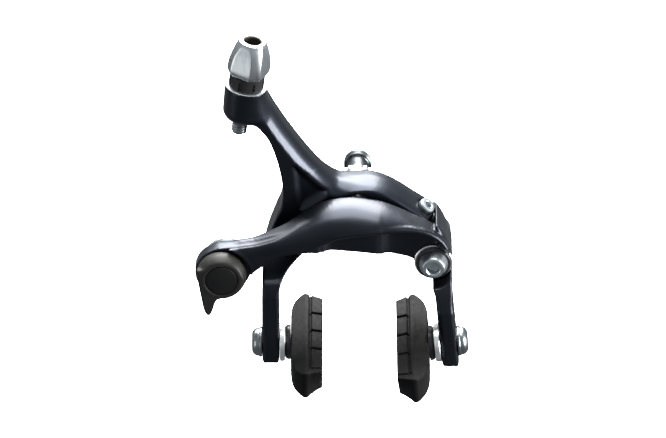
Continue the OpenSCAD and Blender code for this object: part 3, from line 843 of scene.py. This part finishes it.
def hex_radius(across):
    """Radius of a hexagon as a function of angle."""
    sixth = math.pi / 3
    return lambda a: across / 2 / math.cos((a + sixth / 2) % sixth - sixth / 2)


def chamfered(across, radius):
    """Radius of a hexagon whose corners are turned down to a radius."""
    hexed = hex_radius(across)
    return lambda a: min(hexed(a), radius)


def socket(across, face, depth, chamfer=0.35):
    """Profile rows of a hex socket sunk from a face, ending in a cone."""
    corner = across / math.sqrt(3) + 0.05
    return [(corner + chamfer, face), (corner, face - chamfer), (hex_radius(across), face - chamfer - 0.02),
            (hex_radius(across), face - depth), (0.0, face - depth - 0.6)]


def disc(name, rows, origin, direction, body, slot, nodes, segments=96, material=None):
    """Turned piece of one body, in its place."""
    obj = placed(lathe(name, rows, segments, 32), origin, direction)
    finish_piece(obj, body, slot, nodes, material)


def ring_rows(outer, low, high, edge=0.2):
    """Profile rows of a washer with eased outer edges and a bolt's bore."""
    return [(BORE_R, low), (outer - edge, low), (outer, low + edge), (outer, high - edge),
            (outer - edge, high), (BORE_R, high)]


def make_centre_stack():
    back, front = (0, 1, 0), (0, -1, 0)
    teeth = 24

    def serrated(radius):
        return lambda a: radius - 0.5 * abs(2 * ((a * teeth / (2 * math.pi)) % 1) - 1)

    rows = [(BORE_R, -2.2), (serrated(8.0), -2.2), (serrated(8.2), -1.9), (serrated(8.2), -0.2),
            (serrated(8.0), 0), (BORE_R, 0)]
    disc("fork_washer_skin", rows, (0, 0, 0), back, "mount", "zinc_steel", ["fork_washer"], 240)
    nut = [(BORE_R, 2.5), (3.8, 2.5), (4.0, 2.7), (4.0, 11.9), (4.25, 12.2), (4.7, 12.2), (5.0, 12.5),
           (5.0, 13.3), (4.86, 13.45), (4.86, 13.6), (5.0, 13.75), (5.0, 15.2), (4.7, 15.5)]
    nut += socket(5.0, 15.5, 2.2)[:-1] + [(BORE_R, 13.2)]
    disc("sleeve_nut_skin", nut, (0, 0, 0), back, "sleeve_nut_body", "zinc_steel", ["sleeve_nut"],
         material="shaded_zinc")
    rod = threaded_rod("mounting_bolt_thread", BOLT_R, 9.4, 0.3)
    finish_piece(placed(rod, (0, 3.4, 0), back), "mount", "zinc_steel")
    core = 2.6
    rows = [(0, -2.4), (core, -2.4), (BOLT_R, -1.9), (BOLT_R, -1.3), (core, -1.1), (core, 0.0), (BOLT_R, 0.2),
            (BOLT_R, 2.3), (core, 2.5), (core, 3.6), (0, 3.6)]
    disc("mounting_bolt_skin", rows, (0, 0, 0), back, "mount", "zinc_steel", [])
    hexed = hex_radius(10)
    rows = [(BORE_R, 14.85), (chamfered(10, 5.3), 14.85), (hexed, 15.2), (hexed, 17.3),
            (chamfered(10, 5.2), 17.68), (BORE_R, 17.68)]
    disc("centre_nut_skin", rows, (0, 0, 0), front, "mount", "zinc_steel", ["centre_nut"], 120)
    thrust = {"front": ring_rows(5.9, 14.06, 14.74, 0.1), "rear": ring_rows(6.8, 5.46, 5.99, 0.1)}
    for end, rows in thrust.items():
        disc(f"{end}_thrust_skin", rows, (0, 0, 0), front, "mount", "washer_steel", [f"{end}_thrust_washer"])


def make_side_pivot():
    place, front = (SIDE_X, 0, SIDE_Z), (0, -1, 0)
    bolt = [(0, 2.3), (BOLT_R, 2.3), (BOLT_R, 25.9), (5.1, 25.95), (5.2, 26.1), (5.12, 26.6), (4.25, 28.7),
            (4.15, 29.1), (3.95, 29.45), (3.6, 29.66), (3.2, 29.7)]
    bolt += socket(4.0, 29.7, 2.6)
    turned = (
        ("side_pivot_skin", bolt, "zinc_steel", "side_pivot_bolt"),
        ("side_washer_skin", ring_rows(6.9, 24.16, 24.94), "washer_steel", "side_washer"),
        ("side_ring_skin", ring_rows(6.3, 25.0, 25.9, 0.3), "washer_black", "side_ring"),
        ("side_thrust_skin", ring_rows(6.2, 5.46, 5.99, 0.1), "washer_steel", "side_thrust_washer"),
    )
    for name, rows, slot, node in turned:
        disc(name, rows, place, front, "mount", slot, [node])


def make_centring_screw():
    rows = [(0, -7.5), (1.2, -7.5), (1.5, -7.2), (1.5, -1.7), (2.65, -1.7), (2.9, -1.45), (2.9, 1.15),
            (2.6, 1.6), (2.2, 1.7)]
    rows += socket(2.5, 1.7, 1.6, 0.2)
    disc("centring_screw_skin", rows, SCREW, SCREW_UP, "screw_body", "zinc_steel", ["centring_screw"])


# ---------- quick release and cable clamp ----------

BEAK = spline(
    [(-8.8, 4.0), (-8.5, 0.5), (-7.9, -4.0), (-7.2, -7.9), (-6.6, -11.4), (-5.95, -13.4), (-5.1, -14.6),
     (-4.1, -14.5), (-3.1, -12.4), (-2.2, -9.4), (-1.2, -8.0), (2.4, -6.1), (6.6, -2.3), (7.5, 2), (0, 6)]
)


def lever_field(x, y, z):
    """Quick-release lever around its own axis, at the part's depths."""
    away = np.sqrt(x**2 + z**2)
    front, head_back, beak_back = -36.9, -31.12, -33.9
    head_r, dome_r, dome_slope = 8.9, 7.3, 0.72
    # round head, strongly domed towards its front face
    head = round_meet(away - head_r, (away - dome_r + dome_slope * (front - y)) / 1.23, 1.2)
    head = round_meet(round_meet(head, front - y, 0.35), y - head_back, 0.3)
    beak = round_meet(outline_distance(x, z, BEAK), front - y, 0.8)
    beak = round_meet(beak, y - beak_back, 0.5)
    body = round_join(head, beak, 0.5)
    # groove around the cap, the cap's seat, and the cam's bore behind it
    groove = np.abs(away - 5.72) - 0.16
    body = round_meet(body, -np.maximum(groove, y + 36.1), 0.08)
    body = np.maximum(body, -np.maximum(away - 5.62, y + 35.9))
    return np.maximum(body, -np.maximum(away - RECESS_R, -33.65 - y))


def make_quick_release():
    place, front = (ANCHOR_X, 0, ANCHOR_Z), (0, -1, 0)
    lever = sculpted("lever_skin", lever_field, (-11, -38, -17.5), (11, -30, 11), 0.3)
    lever.data.transform(Matrix.Translation(Vector(place) * MM))
    finish_piece(lever, "lever_body", "lever_plastic", ["quick_release_lever"])
    rows = [(0, 35.9), (5.6, 35.9), (5.6, 36.75), (5.45, 36.95), (5.1, 37.05), (0, 37.1)]
    disc("lever_cap_skin", rows, place, front, "lever_body", "cap_plastic", ["lever_cap"])
    clamp = (ANCHOR_X + CAM_OFFSET, 0, ANCHOR_Z)
    rows = ring_rows(7.2, 20.3, 25.38, 0.5)
    disc("cable_washer_skin", rows, clamp, front, "cable_clamp_body", "zinc_steel", ["cable_washer"])
    rows = [(BORE_R, 14.0), (chamfered(10, 5.2), 14.0), (chamfered(10, 5.6), 14.4),
            (chamfered(10, 5.6), 18.2), (chamfered(10, 5.3), 18.55), (BORE_R, 18.55)]
    disc("cable_nut_skin", rows, clamp, front, "cable_clamp_body", "zinc_steel", ["cable_nut"], 120)
    plate = prism("cable_plate_skin", plate_outline(), 1.65, 0.3)
    groove = prism("groove", [(-4.9, -20), (-3.3, -20), (-3.3, 20), (-4.9, 20)], 0.8)
    groove.data.transform(Matrix.Translation((0, 0, 1.05 * MM)))
    combine(plate, groove, "DIFFERENCE")
    plate.data.transform(Matrix.Rotation(math.pi / 2, 4, "X"))
    plate.data.transform(Matrix.Translation(Vector((clamp[0], -18.6, clamp[2])) * MM))
    finish_piece(plate, "cable_clamp_body", "washer_steel", ["cable_plate"])
    tip = threaded_rod("cable_bolt_thread", BOLT_R, 7.0, 0.3)
    finish_piece(placed(tip, (clamp[0], -21.8, clamp[2]), (0, 1, 0)), "cable_clamp_body", "zinc_steel")


def plate_outline():
    """Round clamp plate with a square tab on its +X side."""
    radius, tab, half = 7.9, 8.9, 3.0
    start = math.asin(half / radius)
    arc = [(radius * math.cos(a), radius * math.sin(a)) for a in np.linspace(start, 2 * math.pi - start, 72)]
    return [(tab, -half), (tab, half)] + arc


# ---------- shoes ----------

SHOE_X, FACE_X, SHOE_FRONT, SHOE_REAR, SHOE_H = 7.15, 18.55, -29.5, 25.0, 10.4
SHOE_PLAN = np.vstack(
    [
        spline([(SHOE_X, 12), (7.5, 17), (8.6, 21), (10.6, 23.8), (12.3, SHOE_REAR)]),
        [(FACE_X, 21.3), (FACE_X, -27.6)],
        spline([(14.2, -29.2), (12.6, SHOE_FRONT), (11.2, -28.9), (8.7, -25.6), (7.5, -21), (SHOE_X, -15)]),
    ]
)
SHOE_SAG = 4200.0
SHOE_GROOVES, GROOVE_HALF, GROOVE_DEPTH, GROOVE_MID_X = (-12.6, -0.8, 10.9), 0.6, 2.0, 16.4
CREASE_X, SEAM_X, SEAM_HALF, SEAM_DEPTH = 12.4, 14.1, 0.35, 0.9
SIDE_SLOPE = 0.27
STEP_Y, STEP_HALF = -25.4, 0.5


def shoe_field(x, y, z):
    """Brake shoe in its own frame, with its front end sagging a little."""
    level, top = z, SHOE_H / 2
    z = z + np.clip(-y, 0, None) ** 2 / SHOE_SAG
    # the half next to the leg slopes away from a crease, the braking half is square
    crown = top - SIDE_SLOPE * np.clip(CREASE_X - x, 0, None)
    body = round_meet(outline_distance(x, y, SHOE_PLAN), np.abs(z) - crown, 0.4)
    seam = np.maximum(np.abs(x - SEAM_X) - SEAM_HALF, top - SEAM_DEPTH - np.abs(z))
    body = round_meet(body, -np.maximum(seam, STEP_Y + 0.2 - y), 0.2)
    # slanted grooves across the top, the bottom and the braking face
    for place in SHOE_GROOVES:
        gap = np.abs(y - place + SIDE_SLOPE * (x - GROOVE_MID_X)) - GROOVE_HALF
        across = np.maximum(np.maximum(gap, SEAM_X - x), top - 1.8 - np.abs(z))
        down = np.maximum(gap, FACE_X - GROOVE_DEPTH - x)
        body = round_meet(body, -np.minimum(across, down), 0.15)
    # step and rounded lip at the front end of the braking half
    step = np.maximum(np.abs(y - STEP_Y) - STEP_HALF, np.maximum(13.4 - x, top - 0.8 - z))
    body = round_meet(body, -step, 0.3)
    scoop = ease(x, CREASE_X, FACE_X) * np.clip(top - z, 0, None) * 0.56
    lip = 0.5 + 1.1 * ease(x, 13.0, 14.6)
    body = round_meet(body, (SHOE_FRONT + scoop - y) * 0.87, lip)
    hole = np.sqrt(y**2 + level**2) - 3.02
    return np.maximum(body, -np.maximum(hole, x - 9.1))


def shoe_place(side):
    """Transform from the shoe's own frame, +X towards the rim, to the part's."""
    if side == "left":
        return Matrix.Translation(LEFT_SHOE * MM)
    lean = Matrix.Rotation(-LEG_LEAN, 4, "Y")
    return Matrix.Translation(RIGHT_SHOE * MM) @ lean @ Matrix.Scale(-1, 4, (1, 0, 0))


def settle_shoe(obj, side, pitch=0.0):
    obj.data.transform(shoe_place(side) @ Matrix.Rotation(pitch, 4, "X"))
    if side == "right":
        obj.data.flip_normals()
    return obj


def make_shoe(side):
    body = side + "_shoe_body"
    block = sculpted(side + "_shoe_skin", shoe_field, (5.5, -31.5, -8), (20, 27, 7), 0.33)
    pitch = RIGHT_PITCH if side == "right" else 0.0
    finish_piece(settle_shoe(block, side, pitch), body, "shoe_rubber", [side + "_shoe"])
    cup = [(BORE_R, 3.16), (6.8, 3.16), (7.0, 3.36), (7.0, 4.95), (6.8, 5.14), (6.3, 5.14), (4.3, 4.05),
           (BORE_R, 4.05)]
    dome = [(BORE_R, 4.5), (4.2, 4.5), (5.9, 5.45), (6.2, 5.75), (6.3, 6.1), (6.3, 7.05), (6.1, 7.1),
            (BORE_R, 7.1)]
    nut = [(BORE_R, -3.16), (5.3, -3.16), (5.5, -3.36), (5.5, -3.95), (5.35, -4.15), (5.15, -4.25),
           (5.15, -4.9), (5.0, -5.4), (4.6, -6.0), (4.0, -6.5), (3.5, -6.8), (3.2, -6.85), (3.1, -6.6),
           (hex_radius(5.0), -6.55), (hex_radius(5.0), -4.9), (BORE_R, -4.85)]
    # the shoe nuts wear the darker copy of the zinc, painted shade that dims their reflections
    turned = (
        ("cup_washer", "washer_steel", "washer_steel", cup),
        ("dome_washer", "washer_black", "washer_black", dome),
        ("shoe_nut", "zinc_steel", "shade_darkened_zinc", nut),
    )
    for name, slot, material, rows in turned:
        piece = placed(lathe(f"{side}_{name}_skin", rows, 96, 32), (0, 0, 0), (1, 0, 0))
        finish_piece(settle_shoe(piece, side), body, slot, [f"{side}_{name}"], material)


# ---------- hidden hardware seen from behind ----------


def make_bridge():
    """Plate from the centre bolt to the side pivot, with the spring's lug."""
    angle = math.atan2(SIDE_Z, SIDE_X)
    big, small, thick = 8.0, 6.6, 3.15
    turn = [(big * math.cos(a), big * math.sin(a)) for a in np.linspace(angle + 1.6, angle + 4.65, 40)]
    end = [(SIDE_X + small * math.cos(a), SIDE_Z + small * math.sin(a))
           for a in np.linspace(angle - 1.6, angle + 1.6, 36)]
    plate = prism("bridge_skin", turn + end, thick)
    lug = prism("lug", [(-10, -16.5), (-2, -16.5), (-2, -5.5), (-10, -5.5)], thick)
    combine(plate, lug, "UNION")
    around = np.linspace(0, 2 * math.pi, 48, endpoint=False)
    for x, z in ((0, 0), (SIDE_X, SIDE_Z)):
        outline = [(x + BORE_R * math.cos(a), z + BORE_R * math.sin(a)) for a in around]
        hole = prism("hole", outline, 8)
        hole.data.transform(Matrix.Translation((0, 0, -2 * MM)))
        combine(plate, hole, "DIFFERENCE")
    modify(plate, "BEVEL", width=0.35 * MM, segments=3, limit_method="ANGLE", angle_limit=math.radians(40))
    smooth(plate, 35)
    plate.data.transform(Matrix.Rotation(math.pi / 2, 4, "X"))
    plate.data.transform(Matrix.Translation((0, -2.25 * MM, 0)))
    finish_piece(plate, "mount", "bridge_steel", ["pivot_bridge"])


def make_spring():
    """Bent wire from the bridge's lug to the pad behind the left leg."""
    path = [(-3, -17.9), (-8.5, -17.9), (-10.8, -17.2), (-14.2, -14), (-18, -11), (-21.4, -8.9),
            (-24.5, -8.6), (-28, -8.6)]
    line = spline(path, 10)
    radius, around, depth = 0.88, 16, -4.15
    verts, faces = [], []
    for i, (x, z) in enumerate(line):
        along = line[min(i + 1, len(line) - 1)] - line[max(i - 1, 0)]
        along = along / np.linalg.norm(along)
        for k in range(around):
            a = 2 * math.pi * k / around
            side = radius * math.cos(a)
            verts.append((x - along[1] * side, depth + radius * math.sin(a), z + along[0] * side))
    for i in range(len(line) - 1):
        faces += band(i * around, (i + 1) * around, around)
    faces.append(tuple(range(around)))
    faces.append(tuple(range((len(line) - 1) * around, len(line) * around)))
    obj = solid("spring_skin", verts, faces, 50)
    obj.data.materials.append(MATERIALS["zinc_steel"])
    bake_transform(obj)
    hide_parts("return_spring")


def make_spring_pad():
    left, right, bottom, top = -27.0, -20.0, -7.6, -2.6
    outline = [(left, bottom), (right, bottom), (right, top), (left, top)]
    pad = prism("spring_pad_skin", outline, 2.8, 0.5)
    pad.data.transform(Matrix.Rotation(math.pi / 2, 4, "X"))
    pad.data.transform(Matrix.Translation((0, -3.25 * MM, 0)))
    finish_piece(pad, "rear_arm_body", "black_plastic", ["spring_pad"])


make_rear_arm()
make_front_arm()
make_adjuster()
make_centre_stack()
make_side_pivot()
make_centring_screw()
make_quick_release()
make_shoe("left")
make_shoe("right")
make_bridge()
make_spring()
make_spring_pad()
# the exact solids that stay in view take the material of their slot
for part in frame["record"]["subparts"]:
    node = frame["nodes"].get(part["node"])
    if node is not None:
        node.data.materials.clear()
        node.data.materials.append(MATERIALS[part["material_slot"]])


# ---------- studio ----------


def aim(obj, spot, facing):
    """Puts a light or camera at a spot, looking in a direction."""
    obj.location = spot
    obj.rotation_mode = "QUATERNION"
    obj.rotation_quaternion = facing.to_track_quat("-Z", "Y")
    bpy.context.collection.objects.link(obj)


def panel(name, direction, size, radiance):
    """Soft area light a metre away in a direction, hidden from the camera."""
    light = bpy.data.lights.new(name, "AREA")
    light.shape = "RECTANGLE"
    light.size, light.size_y = size
    light.energy = radiance * math.pi * size[0] * size[1]
    obj = bpy.data.objects.new(name, light)
    obj.visible_camera = False
    towards = Vector(direction).normalized()
    aim(obj, towards, -towards)


def make_world():
    """Dim sky below the horizon, brighter above it."""
    world = bpy.data.worlds.new("studio")
    bpy.context.scene.world = world
    world.use_nodes = True
    nodes, links = world.node_tree.nodes, world.node_tree.links
    place = nodes.new("ShaderNodeTexCoord")
    split = nodes.new("ShaderNodeSeparateXYZ")
    rise = nodes.new("ShaderNodeMapRange")
    rise.interpolation_type = "SMOOTHSTEP"
    for key, value in {"From Min": -0.45, "From Max": 0.5, "To Min": 0.28, "To Max": 0.6}.items():
        rise.inputs[key].default_value = value
    links.new(place.outputs["Generated"], split.inputs["Vector"])
    links.new(split.outputs["Z"], rise.inputs["Value"])
    links.new(rise.outputs["Result"], nodes["Background"].inputs["Strength"])
    nodes["Background"].inputs["Color"].default_value = (0.90, 0.95, 1.0, 1)


def make_studio():
    mesh = bpy.data.meshes.new("floor")
    reach, level = 6.0, -0.16
    mesh.from_pydata([(-reach, -reach, level), (reach, -reach, level), (reach, reach, level),
                      (-reach, reach, level)], [], [(0, 1, 2, 3)])
    floor = bpy.data.objects.new("floor", mesh)
    bpy.context.collection.objects.link(floor)
    s = Shader("pale_floor")
    s.colour(s.blend(s.spread(s.noise(3, 2.0), 0.0, 1.0), (0.90, 0.90, 0.90), (0.93, 0.93, 0.93)))
    s.set(Roughness=0.9, Emission_Color=(1, 1, 1, 1), Emission_Strength=0.85)
    mesh.materials.append(s.material)
    floor.visible_glossy = False
    floor.visible_diffuse = False
    make_world()
    panel("top_softbox", (0.05, 0.6, 0.75), (0.75, 0.6), 34)
    panel("top_fill", (0.0, 0.1, 1.0), (0.7, 0.5), 16)
    panel("back_left", (-0.5, 0.6, 0.6), (0.4, 0.4), 10)
    panel("right_strip", (0.95, -0.28, 0.09), (0.35, 0.6), 44)
    panel("left_panel", (-0.85, -0.45, -0.05), (0.35, 0.5), 3.6)


def make_camera():
    elevation, distance = math.radians(31.35), 3.0
    target = Vector((-8.9, -20.0, -2.9)) * MM
    back = Vector((0, -math.cos(elevation), math.sin(elevation)))
    camera = bpy.data.cameras.new("camera")
    camera.lens, camera.sensor_width = 454.0, 36.0
    camera.clip_start, camera.clip_end = 0.05, 30
    obj = bpy.data.objects.new("camera", camera)
    aim(obj, target + back * distance, -back)
    bpy.context.scene.camera = obj


make_studio()
make_camera()
bpy.context.scene.view_settings.view_transform = "Standard"
